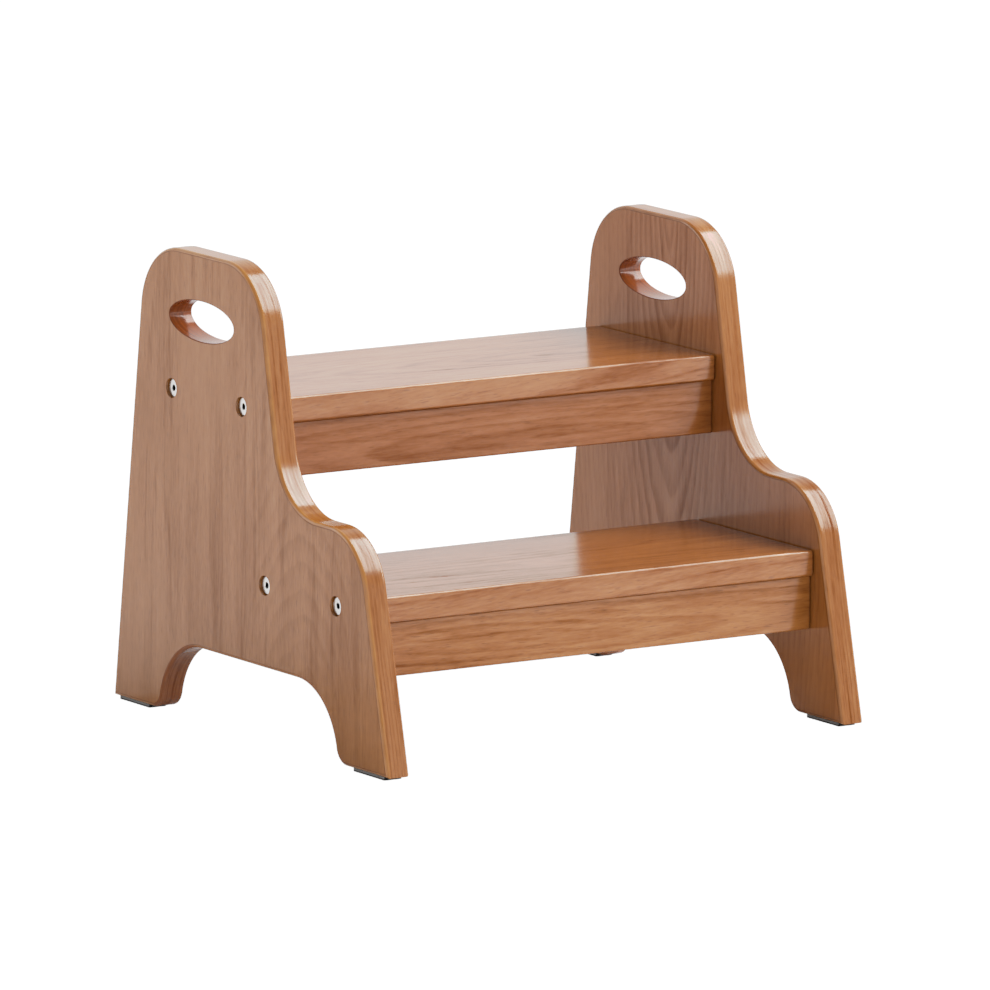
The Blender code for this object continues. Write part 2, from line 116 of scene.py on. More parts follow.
def add_object(name, data):
    """A new object in the scene."""
    thing = bpy.data.objects.new(name, data)
    bpy.context.scene.collection.objects.link(thing)
    return thing


class Skin:
    """A mesh in the making, with an exact normal and a texture place for every face corner."""

    def __init__(self):
        self.points = []
        self.places = {}
        self.faces = []
        self.normals = []
        self.uvs = []
        self.slots = []

    def corner(self, point):
        """Index of the point that lies here, shared by every face that meets it."""
        key = tuple(round(value * 1e7) for value in point)
        if key not in self.places:
            self.places[key] = len(self.points)
            self.points.append(tuple(point))
        return self.places[key]

    def add(self, corners, slot=0):
        """Add a face from its corners, (point, normal, uv), turned to agree with their normals."""
        kept = []
        for point, normal, uv in corners:
            index = self.corner(point)
            if index not in [entry[0] for entry in kept]:
                kept.append((index, Vector(normal), uv))
        if len(kept) < 3:
            return
        spots = [Vector(self.points[entry[0]]) for entry in kept]
        facing = sum((a.cross(b) for a, b in zip(spots, spots[1:] + spots[:1])), Vector())
        if facing.dot(sum((entry[1] for entry in kept), Vector())) < 0:
            kept.reverse()
        self.faces.append([entry[0] for entry in kept])
        self.normals.extend(entry[1].normalized() for entry in kept)
        self.uvs.extend(entry[2] for entry in kept)
        self.slots.append(slot)

    def build(self, name, materials):
        """Turn the skin into a mesh object."""
        mesh = bpy.data.meshes.new(name)
        mesh.from_pydata(self.points, [], self.faces)
        for material in materials:
            mesh.materials.append(material)
        mesh.polygons.foreach_set("material_index", self.slots)
        layer = mesh.uv_layers.new(name="surface")
        layer.data.foreach_set("uv", [value for uv in self.uvs for value in uv])
        mesh.shade_smooth()
        mesh.normals_split_custom_set(self.normals)
        mesh.update()
        return add_object(name, mesh)


class Plane:
    """A flat working plane: an origin, two directions in it, and the way it faces."""

    def __init__(self, origin, u, v, facing):
        self.origin, self.u, self.v, self.facing = map(Vector, (origin, u, v, facing))

    def point(self, flat, height=0.0):
        """Place of a point that is given along the plane and above it."""
        return self.origin + self.u * flat[0] + self.v * flat[1] + self.facing * height

    def direction(self, flat, rise):
        """Direction that is given along the plane and out of it."""
        return self.u * flat[0] + self.v * flat[1] + self.facing * rise


# Planes that face along +X and along +Z.
LYING = Plane((0, 0, 0), (0, 1, 0), (0, 0, 1), (1, 0, 0))
STANDING = Plane((0, 0, 0), (1, 0, 0), (0, 1, 0), (0, 0, 1))


class Loop:
    """A closed line of points with the material's outward normal before and after each."""

    def __init__(self, points, before, after):
        self.points = points
        self.before = before
        self.after = after
        self.lengths = [0.0]
        for here, there in zip(points, points[1:] + points[:1]):
            self.lengths.append(self.lengths[-1] + (there - here).length)

    def inset(self, distance):
        """The loop's points, moved into the material by a distance."""
        return [point - (before + after) / (1 + before.dot(after)) * distance
                for point, before, after in zip(self.points, self.before, self.after)]


def rounded_loop(corners, step=ARC_STEP):
    """Loop through corners, (point, radius), each rounded by an arc that meets its sides."""
    spots = [Vector(corner) for corner, _ in corners]
    area = sum(a.x * b.y - a.y * b.x for a, b in zip(spots, spots[1:] + spots[:1]))
    way = 1 if area > 0 else -1
    entries = []
    for index, here in enumerate(spots):
        radius = corners[index][1]
        arriving = (here - spots[index - 1]).normalized()
        leaving = (spots[(index + 1) % len(spots)] - here).normalized()
        normal_in = Vector((arriving.y, -arriving.x)) * way
        normal_out = Vector((leaving.y, -leaving.x)) * way
        if radius == 0:
            entries.append((here, normal_in, normal_out))
            continue
        turn = math.atan2(arriving.x * leaving.y - arriving.y * leaving.x, arriving.dot(leaving))
        bulge = 1 if turn * way > 0 else -1
        reach = radius * math.tan(abs(turn) / 2)
        centre = here - arriving * reach - normal_in * radius * bulge
        count = max(2, math.ceil(abs(turn) / step))
        for number in range(count + 1):
            normal = turned(normal_in, turn * number / count)
            entries.append((centre + normal * radius * bulge, normal, normal))
    return Loop(*map(list, zip(*entries)))


def turned(flat, angle):
    """A flat vector turned anticlockwise by an angle."""
    cosine = math.cos(angle)
    sine = math.sin(angle)
    return Vector((flat.x * cosine - flat.y * sine, flat.x * sine + flat.y * cosine))


def ellipse_loop(centre, half_length, half_height, sides, hollow):
    """Loop round an ellipse; where it is hollow, the material is outside it."""
    points = []
    normals = []
    for number in range(sides):
        angle = 2 * math.pi * number / sides
        offset = Vector((half_length * math.cos(angle), half_height * math.sin(angle)))
        slope = Vector((math.cos(angle) / half_length, math.sin(angle) / half_height))
        points.append(Vector(centre) + offset)
        normals.append(slope.normalized() * (-1 if hollow else 1))
    return Loop(points, normals, normals)


def circle_loop(centre, radius, hollow, sides=CIRCLE_SIDES):
    """Loop round a circle."""
    return ellipse_loop(centre, radius, radius, sides, hollow)


def arc_strip(height, inset, radius, start, end, segments=ROUND_SEGMENTS):
    """Rounded part of a section: a quarter turn about a centre that is given by height and inset."""
    strip = []
    for number in range(segments + 1):
        angle = start + (end - start) * number / segments
        strip.append((height + radius * math.sin(angle), inset - radius * math.cos(angle), angle))
    return strip


def sweep(skin, plane, loop, strips, slot=0):
    """Carry a loop along strips of (height, inset, angle of the normal above the plane)."""
    count = len(loop.points)
    across = 0.0
    for strip in strips:
        for low, high in zip(strip, strip[1:]):
            step = math.hypot(high[0] - low[0], high[1] - low[1])
            rows = [(loop.inset(low[1]), low[0], low[2], across),
                    (loop.inset(high[1]), high[0], high[2], across + step)]
            for number in range(count):
                after = (number + 1) % count
                ends = [(number, loop.after[number], loop.lengths[number]),
                        (after, loop.before[after], loop.lengths[number + 1])]
                corners = []
                for points, height, angle, reached in rows:
                    for index, normal, length in ends:
                        tilt = plane.direction(normal * math.cos(angle), math.sin(angle))
                        corners.append((plane.point(points[index], height), tilt, (length, reached)))
                    ends.reverse()
                skin.add(corners, slot)
            across += step


def flat_face(skin, plane, height, rings, facing=1, slot=0):
    """Fill the first ring of points, less the rings inside it, with a flat face."""
    solid = [[plane.point(point, height) for point in ring] for ring in rings]
    spots = [point for ring in solid for point in ring]
    flats = [point for ring in rings for point in ring]
    for triangle in tessellate_polygon(solid):
        skin.add([(spots[i], plane.facing * facing, tuple(flats[i])) for i in triangle], slot)


def capped_sweep(skin, plane, loop, strips):
    """A sweep whose first and last rings are closed with flat faces."""
    sweep(skin, plane, loop, strips)
    for (height, inset, _), facing in ((strips[0][0], -1), (strips[-1][-1], 1)):
        flat_face(skin, plane, height, [loop.inset(inset)], facing)


def drill(skin, plane, centre, steps, sides=CIRCLE_SIDES, through=False):
    """A round hole into a plane's material, in steps of (radius, depth); returns its mouth's ring."""
    mouth = circle_loop(centre, steps[0][0], True, sides)
    strips = [arc_strip(-LIP, LIP, LIP, math.pi / 2, 0, 3)]
    depth = -LIP
    for number, (radius, reach) in enumerate(steps):
        inset = radius - steps[0][0]
        strips.append([(depth, inset, 0.0), (-reach, inset, 0.0)])
        if number + 1 < len(steps):
            next_inset = steps[number + 1][0] - steps[0][0]
            strips.append([(-reach, inset, math.pi / 2), (-reach, next_inset, math.pi / 2)])
        depth = -reach
    sweep(skin, plane, mouth, strips)
    last = circle_loop(centre, steps[-1][0], True, sides)
    if not through:
        flat_face(skin, plane, depth, [last.points])
    return mouth.inset(LIP)


# ---- Places shared by the pieces ----

def middle(node):
    """Middle of a CAD node's box."""
    low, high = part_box(node)
    return (low + high) / 2


def peg_hole(node, face_x, outward=False):
    """Hole (centre, steps, sides) for a lying peg, from a face this far from x = 0."""
    low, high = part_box(node)
    near, far = sorted((abs(low.x), abs(high.x)))
    depth = (far - face_x if outward else face_x - near) + PEG_CLEARANCE
    radius = (high.z - low.z) / 2 + PEG_CLEARANCE
    return ((low + high) / 2).yz, [(radius, depth)], HOLE_SIDES


def upright_peg_holes(step, face_z, upward):
    """Holes for the three pegs between an apron and its tread, from a face at this height."""
    holes = []
    for name in ("left", "middle", "right"):
        low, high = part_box(f"apron_top_dowel_{step}_{name}")
        radius = (high.x - low.x) / 2 + PEG_CLEARANCE
        depth = (high.z - face_z if upward else face_z - low.z) + PEG_CLEARANCE
        holes.append((((low + high) / 2).xy, [(radius, depth)], HOLE_SIDES))
    return holes


def bolt_names(step=None):
    """Names of the bolt places on one side, such as upper_front."""
    return [f"{s}_{end}" for s in STEPS for end in ENDS if step in (None, s)]


# ---- Node materials ----

class Nodes:
    """Short ways to make and link the nodes of one material."""

    def __init__(self, name):
        self.material = bpy.data.materials.new(name)
        self.material.use_nodes = True
        self.tree = self.material.node_tree
        self.shader = self.tree.nodes["Principled BSDF"]

    @classmethod
    def of_tree(cls, tree):
        """The same short ways for a node tree that already exists."""
        nodes = cls.__new__(cls)
        nodes.tree = tree
        return nodes

    def plug(self, socket, value):
        """Link a node's output to a socket, or set the socket to a plain value."""
        if isinstance(value, bpy.types.NodeSocket):
            self.tree.links.new(value, socket)
        else:
            socket.default_value = value

    def make(self, kind, **settings):
        """Make a node and give it its settings."""
        node = self.tree.nodes.new(kind)
        for name, value in settings.items():
            setattr(node, name, value)
        return node

    def math(self, operation, a, b=None, c=None):
        """Arithmetic on one to three values."""
        node = self.make("ShaderNodeMath", operation=operation)
        for socket, value in zip(node.inputs, (a, b, c)):
            if value is not None:
                self.plug(socket, value)
        return node.outputs[0]

    # Short names for the arithmetic that is used most.
    times = partialmethod(math, "MULTIPLY")
    plus = partialmethod(math, "ADD")
    minus = partialmethod(math, "SUBTRACT")
    times_plus = partialmethod(math, "MULTIPLY_ADD")

    def spread(self, value, low, high, to_low, to_high, smooth=False):
        """Map a value from one range to another and clamp it."""
        node = self.make("ShaderNodeMapRange")
        node.interpolation_type = "SMOOTHSTEP" if smooth else "LINEAR"
        for socket, entry in zip(node.inputs, (value, low, high, to_low, to_high)):
            self.plug(socket, entry)
        return node.outputs[0]

    def texture_place(self, kind="Object"):
        """Texture place of one kind, which is an object's own x, y and z unless told otherwise."""
        return self.make("ShaderNodeTexCoord").outputs[kind]

    def split(self, vector):
        """X, Y and Z of a vector."""
        node = self.make("ShaderNodeSeparateXYZ")
        self.plug(node.inputs[0], vector)
        return node.outputs

    def join(self, x, y, z):
        """A vector from its parts."""
        node = self.make("ShaderNodeCombineXYZ")
        for socket, value in zip(node.inputs, (x, y, z)):
            self.plug(socket, value)
        return node.outputs[0]

    def scaled(self, vector, factors, offset=(0, 0, 0)):
        """A vector multiplied part by part and moved."""
        node = self.make("ShaderNodeVectorMath", operation="MULTIPLY_ADD")
        self.plug(node.inputs[0], vector)
        self.plug(node.inputs[1], factors)
        self.plug(node.inputs[2], offset)
        return node.outputs[0]

    def noise(self, vector, stretch=None, scale=1.0, detail=2.0, roughness=0.5, distortion=0.0):
        """Noise from 0 to 1, at a place that is first stretched where factors are given."""
        if stretch is not None:
            vector = self.scaled(vector, stretch)
        node = self.make("ShaderNodeTexNoise")
        for name, value in (("Vector", vector), ("Scale", scale), ("Detail", detail),
                            ("Roughness", roughness), ("Distortion", distortion)):
            self.plug(node.inputs[name], value)
        return node.outputs["Fac"]

    def mix(self, factor, a, b, blend="MIX"):
        """Mix two colours."""
        node = self.make("ShaderNodeMix", data_type="RGBA", blend_type=blend)
        self.plug(node.inputs[0], factor)
        for socket, value in ((node.inputs[6], a), (node.inputs[7], b)):
            self.plug(socket, value if isinstance(value, bpy.types.NodeSocket) else (*value, 1.0))
        return node.outputs[2]

    def bump(self, height, distance, strength=1.0, normal=None):
        """A normal from a height, with the distance in metres."""
        node = self.make("ShaderNodeBump")
        self.plug(node.inputs["Height"], height)
        node.inputs["Distance"].default_value = distance
        node.inputs["Strength"].default_value = strength
        if normal is not None:
            self.plug(node.inputs["Normal"], normal)
        return node.outputs[0]

    def finish(self, **sockets):
        """Fill the shader's sockets and return the material."""
        for name, value in sockets.items():
            socket = self.shader.inputs[name.replace("_", " ")]
            if isinstance(value, tuple) and len(value) == 3 and socket.type == "RGBA":
                value = (*value, 1.0)
            self.plug(socket, value)
        return self.material


LIGHT_WOOD = (0.395, 0.154, 0.031)
DARK_WOOD = (0.143, 0.042, 0.007)
PORE_WOOD = (0.080, 0.024, 0.005)
# A red stain multiplied into the wood colour; its larger shares on the arch's walls and the right panel
# are painted shade.
RED_STAIN_AND_SHADE = (0.97, 0.80, 0.90)
# Painted highlight: the pale colour that the rims' rounded corners are lightened toward.
RIM_PAINTED_HIGHLIGHT = (0.405, 0.168, 0.040)
SLOT_WOOD = (0.180, 0.043, 0.008)
LACQUER_ROUGHNESS = 0.17
LACQUER_IOR = 1.5
FACE_LACQUER_IOR = 1.6
RIM_LACQUER_IOR = 1.65


def grain_place(nodes, order):
    """Texture place as (along, across, deep) from an object's own x, y and z."""
    parts = nodes.split(nodes.texture_place())
    return nodes.join(*(parts[axis] for axis in order))


def slanted(nodes, place, slope):
    """The place with its grain running out through the board's thickness at a slope."""
    along, across, deep = nodes.split(place)
    return nodes.join(along, across, nodes.times_plus(along, slope, deep))


def growth_rings(nodes, place, pith, spacing, tilt, wander):
    """Late wood of growth rings, 0 to 1, about a pith that leans through the board."""
    bend = nodes.noise(place, (5.0, 18.0, 18.0), detail=3.0)
    slow = nodes.noise(nodes.scaled(place, (3.0, 7.0, 7.0), (7.1, 2.3, 5.9)), detail=1.0)
    along, across, deep = nodes.split(place)
    sway = nodes.times_plus(slow, 4 * wander, nodes.plus(across, pith[0] - 2 * wander))
    lean = nodes.times_plus(along, tilt, nodes.plus(deep, pith[1]))
    squares = nodes.plus(nodes.times(sway, sway), nodes.times(lean, lean))
    radius = nodes.times_plus(bend, wander, nodes.math("SQRT", squares))
    jitter = nodes.noise(place, (30, 75, 75))
    radius = nodes.times_plus(jitter, 0.3 * wander, radius)
    turns = nodes.math("DIVIDE", radius, spacing)
    phase = nodes.math("FRACT", turns)
    rise = nodes.spread(phase, 0.15, 0.80, 0.0, 1.0, smooth=True)
    fall = nodes.spread(phase, 0.84, 1.0, 1.0, 0.0, smooth=True)
    strength = nodes.noise(nodes.join(nodes.math("FLOOR", turns), along, 0.0), scale=0.9, detail=1.0)
    strength = nodes.spread(strength, 0.25, 0.75, 0.25, 1.0)
    aside = nodes.spread(nodes.math("ABSOLUTE", sway), 0.02, 0.07, 1.0, 0.35, smooth=True)
    strength = nodes.times(strength, aside)
    return nodes.times(nodes.times(rise, fall), strength)


def wood(name, order, rings, reach=None, slope=0.0, figure=1.0, **looks):
    """Stained wood under a smooth clear lacquer, its grain along the first axis of the order.

    Where the board's reach is given, painted shade darkens its ends and cuts their sheen, where they
    meet the side panels.
    """
    nodes = Nodes(name)
    plain = grain_place(nodes, order)
    place = slanted(nodes, plain, slope)
    ring = nodes.times(growth_rings(nodes, place, **rings), figure)
    line = None
    # Painted shade: the last two millimetres of each end, against a side panel.
    if reach is not None:
        away = nodes.math("ABSOLUTE", nodes.split(plain)[0])
        line = nodes.spread(away, reach - 0.0022, reach - 0.0008, 0.0, 0.8)
    shade_wood(nodes, place, ring, line=line, **looks)
    return nodes.material


def veins(nodes, place):
    """Thin dark veins, 0 to 1, that wander along the grain and close in long loops."""
    field = nodes.noise(nodes.scaled(place, (2.4, 46, 46), (3.3, 1.7, 0.4)), roughness=0.55,
                        distortion=0.5)
    away = nodes.math("ABSOLUTE", nodes.minus(field, 0.5))
    return nodes.spread(away, 0.0, 0.035, 1.0, 0.0, smooth=True)


def shade_wood(nodes, place, ring, contrast=1.0, tone=0.0, glow=None, line=None, red=0.2,
               ior=LACQUER_IOR):
    """Colour, gloss and relief of the wood at a place (along, across, deep)."""
    band = nodes.noise(place, (6, 45, 45))
    streak = nodes.noise(place, (22, 260, 260), roughness=0.6)
    fibre = nodes.noise(place, (90, 800, 800), roughness=0.6)
    cloud = nodes.noise(place, (7, 18, 18))
    flecks = nodes.noise(place, (110, 1000, 1000), detail=1.0)
    pore = nodes.spread(flecks, 0.62, 0.74, 0.0, 1.0)
    light = 0.60 + tone
    for part, weight in ((band, 0.42), (streak, 0.30), (fibre, 0.50), (cloud, 0.28)):
        weight *= contrast
        light = nodes.times_plus(part, weight, nodes.plus(light, -0.5 * weight))
    light = nodes.times_plus(ring, -0.22 * contrast, light)
    light = nodes.times_plus(veins(nodes, place), -0.14 * contrast, light)
    light = nodes.spread(light, 0.0, 1.0, 0.0, 1.0)
    base = nodes.mix(light, DARK_WOOD, LIGHT_WOOD)
    base = nodes.mix(red, base, RED_STAIN_AND_SHADE, "MULTIPLY")
    colour = nodes.mix(nodes.times(pore, min(0.6, 0.30 * contrast)), base, PORE_WOOD)
    # Painted highlight: where glow is given, the colour is lightened toward the rims' painted highlight
    # colour.
    if glow is not None:
        colour = nodes.mix(glow, colour, RIM_PAINTED_HIGHLIGHT)
    sheen = nodes.spread(light, 0.0, 1.0, 0.0, 0.88)
    # A given line darkens the colour and cuts the sheen; on the boards' ends this is painted shade.
    if line is not None:
        colour = nodes.mix(line, colour, PORE_WOOD)
        sheen = nodes.times(sheen, nodes.minus(1.0, line))
    uneven = nodes.noise(place, (60, 60, 60), detail=3.0)
    gloss = nodes.times_plus(uneven, 0.06, LACQUER_ROUGHNESS - 0.03)
    fine = nodes.bump(fibre, 0.00001, 0.3)
    swell = nodes.noise(place, (14, 60, 60), detail=1.0)
    normal = nodes.bump(swell, 0.00010, 0.5, fine)
    nodes.finish(Base_Color=colour, Roughness=gloss, Specular_IOR_Level=sheen, Normal=normal,
                 IOR=ior)


def rim_parts(nodes, offset, rounding):
    """Place along a rim's grain, its plies, the distance to the nearer face, and which half."""
    along, across, _ = nodes.split(nodes.texture_place("UV"))
    place = nodes.scaled(nodes.join(along, across, 0.0), (1, 1, 1), offset)
    wobble = nodes.noise(place, (9, 40, 40))
    moved = nodes.times_plus(wobble, 0.005, across)
    lines = nodes.join(nodes.times(along, 3.0), nodes.times(moved, 520), 0.0)
    ply = nodes.spread(nodes.noise(lines), 0.42, 0.66, 0.0, 1.0, smooth=True)
    whole = rounding * math.pi + BOARD - 2 * rounding
    nearer = nodes.math("MINIMUM", across, nodes.minus(whole, across))
    half = nodes.spread(across, whole * 0.45, whole * 0.55, 0.0, 1.0)
    return place, ply, nearer, half


def arch_mask(nodes):
    """One on the arch's wall at the foot of a panel, where painted shade goes, and nought on the rest
    of its rim.
    """
    _, y, z = nodes.split(nodes.texture_place())
    low = nodes.spread(z, ARCH_ROOF_Z + 0.0005, ARCH_ROOF_Z + 0.0015, 1.0, 0.0)
    inside = nodes.spread(nodes.math("ABSOLUTE", y), 0.125, 0.130, 1.0, 0.0)
    return nodes.times(low, inside)


def rim_wood(name, offset, inner_painted_highlight, outer_painted_highlight, tone):
    """A panel's outer rim: grain along the edge, a painted highlight on its rounded corners and painted
    shade on the arch's wall.
    """
    nodes = Nodes(name)
    place, ply, nearer, half = rim_parts(nodes, offset, PANEL_ROUNDING)
    bend = PANEL_ROUNDING * math.pi / 2
    # Painted highlight along the rounded corners, broken up by noise, with its share on each corner
    # given per panel; the arch's wall has none.
    inner = nodes.spread(nearer, bend * 0.8, bend * 1.25, 1.0, 0.0, smooth=True)
    outer = nodes.spread(nearer, bend * 0.10, bend * 0.30, 0.0, 1.0, smooth=True)
    highlight_breakup = nodes.spread(nodes.noise(place, scale=60.0), 0.35, 0.6, 0.45, 0.85)
    share = nodes.spread(half, 0.0, 1.0, inner_painted_highlight, outer_painted_highlight)
    glow = nodes.times(nodes.times(inner, outer), highlight_breakup)
    arch = arch_mask(nodes)
    glow = nodes.times(nodes.times(glow, share), nodes.minus(1.0, arch))
    line = nodes.spread(nearer, 0.0, bend * 0.22, 0.55, 0.0, smooth=True)
    # Painted shade: the arch's wall takes the full red stain, which darkens it.
    red = nodes.times_plus(arch, 0.8, 0.2)
    shade_wood(nodes, place, ply, 0.95, tone, glow, line, red=red, ior=RIM_LACQUER_IOR)
    return nodes.material


def slot_wood(name, offset):
    """The hand slots' walls, darker and redder than the panels' rims, with a darker lip."""
    nodes = Nodes(name)
    place, ply, nearer, _ = rim_parts(nodes, offset, SLOT_ROUNDING)
    streak = nodes.noise(place, (30, 500, 500), detail=3.0)
    shade = nodes.times_plus(ply, -0.35, nodes.plus(streak, 0.25))
    colour = nodes.mix(nodes.spread(shade, 0.1, 0.9, 0.0, 1.0), [c * 0.55 for c in SLOT_WOOD],
                       [c * 1.35 for c in SLOT_WOOD])
    lip = nodes.spread(nearer, 0.0, SLOT_ROUNDING * 2.5, 1.0, 0.0, smooth=True)
    colour = nodes.mix(nodes.times(lip, 0.5), colour, PORE_WOOD)
    sheen = nodes.times_plus(lip, -0.42, 0.5)
    nodes.finish(Base_Color=colour, Roughness=nodes.spread(streak, 0.3, 0.7, 0.15, 0.22),
                 Specular_IOR_Level=sheen, Normal=nodes.bump(streak, 0.00002, 0.5), IOR=LACQUER_IOR)
    return nodes.material


def pale_wood():
    """Unfinished beech of the pegs, with short dark flecks along its grain."""
    nodes = Nodes("peg_beech")
    place = nodes.texture_place()
    fleck = nodes.noise(place, (120, 900, 900))
    colour = nodes.mix(nodes.spread(fleck, 0.35, 0.7, 0.0, 1.0), (0.62, 0.44, 0.27), (0.45, 0.29, 0.16))
    nodes.finish(Base_Color=colour, Roughness=nodes.spread(fleck, 0, 1, 0.5, 0.75),
                 Normal=nodes.bump(fleck, 0.00004))
    return nodes.material


def plated_steel(name, colour, roughness):
    """Plated steel with faint turning marks and stains."""
    nodes = Nodes(name)
    place = nodes.texture_place()
    cloud = nodes.noise(place, (500, 500, 500), detail=3.0)
    marks = nodes.noise(place, (300, 5000, 5000), detail=1.0)
    tint = nodes.mix(nodes.spread(cloud, 0.35, 0.75, 0.0, 0.5), colour, [c * 0.72 for c in colour])
    gloss = nodes.times_plus(marks, 0.14, roughness - 0.05)
    nodes.finish(Base_Color=tint, Metallic=1.0, Roughness=gloss,
                 Normal=nodes.bump(marks, 0.00001, 0.4))
    return nodes.material


def black_rubber():
    """Matt black rubber with a fine moulded tooth, and a painted grey reflection along its long sides.
    """
    nodes = Nodes("pad_rubber")
    place = nodes.texture_place()
    tooth = nodes.noise(place, (2400, 2400, 2400))
    dust = nodes.noise(place, (160, 160, 160), detail=3.0)
    black = nodes.mix(nodes.spread(dust, 0.4, 0.75, 0.0, 0.4), (0.016, 0.016, 0.017),
                      (0.040, 0.039, 0.037))
    # Painted reflection: the sides that face along X are greyed above the pad's lowest millimetre.
    facing = nodes.split(nodes.make("ShaderNodeNewGeometry").outputs["Normal"])[0]
    side = nodes.spread(nodes.math("ABSOLUTE", facing), 0.6, 0.9, 0.0, 1.0)
    upper = nodes.spread(nodes.split(place)[2], 0.0009, 0.0013, 0.0, 0.9)
    colour = nodes.mix(nodes.times(side, upper), black, (0.200, 0.192, 0.186))
    nodes.finish(Base_Color=colour, Roughness=nodes.spread(dust, 0.3, 0.7, 0.55, 0.8),
                 Specular_IOR_Level=0.3, Normal=nodes.bump(tooth, 0.00006, 0.6))
    return nodes.material


# ---- Side panels ----

def panel_loop():
    """Outline of a side panel: up the front, over the top, down the back and through the arch."""
    rise = ARCH_ROOF_Z - FOOT_Z
    turn = math.acos(1 - rise / (ARCH_HOLLOW_RADIUS + ARCH_TOE_RADIUS))
    reach = ARCH_HOLLOW_RADIUS * math.tan(turn / 2)
    lean = rise / math.tan(turn)
    front_roof = ARCH_ROOF_Y[0] - reach
    back_roof = ARCH_ROOF_Y[1] + reach
    corners = [
        ((PANEL_LOW.y, FOOT_Z), 0),
        SHOULDER,
        NECK,
        TOP_FRONT,
        TOP_BACK,
        ((PANEL_HIGH.y, FOOT_Z), 0),
        ((back_roof + lean, FOOT_Z), ARCH_TOE_RADIUS),
        ((back_roof, ARCH_ROOF_Z), ARCH_HOLLOW_RADIUS),
        ((front_roof, ARCH_ROOF_Z), ARCH_HOLLOW_RADIUS),
        ((front_roof - lean, FOOT_Z), ARCH_TOE_RADIUS),
    ]
    return rounded_loop(corners)


def rim_strips(half_thickness, radius):
    """Section round a slab's edge: a rounded corner, the flat wall and the other corner."""
    start = arc_strip(-half_thickness + radius, radius, radius, -math.pi / 2, 0)
    end = arc_strip(half_thickness - radius, radius, radius, 0, math.pi / 2)
    wall = [start[-1], (0.0, 0.0, 0.0), end[0]]
    return [start, wall, end]


def build_panel(side_name, side, materials):
    """One side panel, with its hand slot, rounded rims, counterbores and peg holes."""
    skin = Skin()
    core = Plane((side * (HALF_WIDTH - BOARD / 2), 0, 0), (0, 1, 0), (0, 0, 1), (side, 0, 0))
    outline = panel_loop()
    slot = ellipse_loop(SLOT_CENTRE, SLOT_HALF_LENGTH, SLOT_HALF_HEIGHT, 96, hollow=True)
    sweep(skin, core, outline, rim_strips(BOARD / 2, PANEL_ROUNDING), slot=1)
    sweep(skin, core, slot, rim_strips(BOARD / 2, SLOT_ROUNDING), slot=2)
    rims = [outline.inset(PANEL_ROUNDING), slot.inset(SLOT_ROUNDING)]
    outer = Plane(core.point((0, 0), BOARD / 2), core.u, core.v, core.facing)
    inner = Plane(core.point((0, 0), -BOARD / 2), core.u, core.v, -core.facing)
    outer_rings = list(rims)
    inner_rings = list(rims)
    bore = [(COUNTERBORE_RADIUS, COUNTERBORE_DEPTH), (BOLT_HOLE_RADIUS, BOARD)]
    for name in bolt_names():
        centre = middle(f"tread_bolt_{side_name}_{name}").yz
        outer_rings.append(drill(skin, outer, centre, bore, through=True))
        inner_rings.append(circle_loop(centre, BOLT_HOLE_RADIUS, True).points)
    for kind in ("tread_dowel", "apron_end_dowel"):
        for step in STEPS:
            hole = peg_hole(f"{kind}_{side_name}_{step}", PANEL_INNER_X, outward=True)
            inner_rings.append(drill(skin, inner, *hole))
    flat_face(skin, outer, 0.0, outer_rings)
    flat_face(skin, inner, 0.0, inner_rings)
    name = f"side_panel_{side_name}"
    return settle(skin.build(f"{name}_skin", materials), name)


def settle(piece, node):
    """Ride a finished piece on the stool, in place of its CAD node."""
    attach(piece, "root")
    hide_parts(node)
    return piece


def place_copy(node, mesh, matrix):
    """A copy of a shared mesh that takes a CAD node's place."""
    piece = add_object(f"{node}_skin", mesh)
    piece.matrix_world = matrix
    settle(piece, node)


def take_mesh(piece):
    """The mesh of a piece that is made only to be copied."""
    mesh = piece.data
    bpy.data.objects.remove(piece)
    return mesh


# ---- Boards ----

FACES = {
    "top": ((1, 0, 0), (0, 1, 0), (0, 0, 1)),
    "bottom": ((1, 0, 0), (0, 1, 0), (0, 0, -1)),
    "front": ((1, 0, 0), (0, 0, 1), (0, -1, 0)),
    "back": ((1, 0, 0), (0, 0, 1), (0, 1, 0)),
    "left": ((0, 1, 0), (0, 0, 1), (-1, 0, 0)),
    "right": ((0, 1, 0), (0, 0, 1), (1, 0, 0)),
}


def board_plane(face, low, high):
    """Plane of one face of a board that fills a box, with its origin at the stool's own origin."""
    u, v, facing = (Vector(part) for part in FACES[face])
    reach = sum(high[i] if facing[i] > 0 else low[i] for i in range(3) if facing[i])
    return Plane([abs(facing[i]) * reach for i in range(3)], u, v, facing)


def build_board(node, radius, holes, material):
    """A board with rounded edges and round holes, {face: [(centre, steps, sides)]}."""
    low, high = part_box(node)
    skin = Skin()
    inner_low = low + Vector((radius,) * 3)
    inner_high = high - Vector((radius,) * 3)
    for face in FACES:
        plane = board_plane(face, low, high)
        (u0, v0), (u1, v1) = ((plane.u.dot(end), plane.v.dot(end)) for end in (inner_low, inner_high))
        rings = [[Vector((u0, v0)), Vector((u1, v0)), Vector((u1, v1)), Vector((u0, v1))]]
        rings += [drill(skin, plane, *hole) for hole in holes.get(face, ())]
        flat_face(skin, plane, 0.0, rings)
    round_board_edges(skin, inner_low, inner_high, radius)
    round_board_corners(skin, inner_low, inner_high, radius)
    return settle(skin.build(f"{node}_skin", [material]), node)


def quarter_turns():
    """Angles from nought to a quarter turn, one for each line of a rounded edge."""
    return [math.pi / 2 * number / ROUND_SEGMENTS for number in range(ROUND_SEGMENTS + 1)]


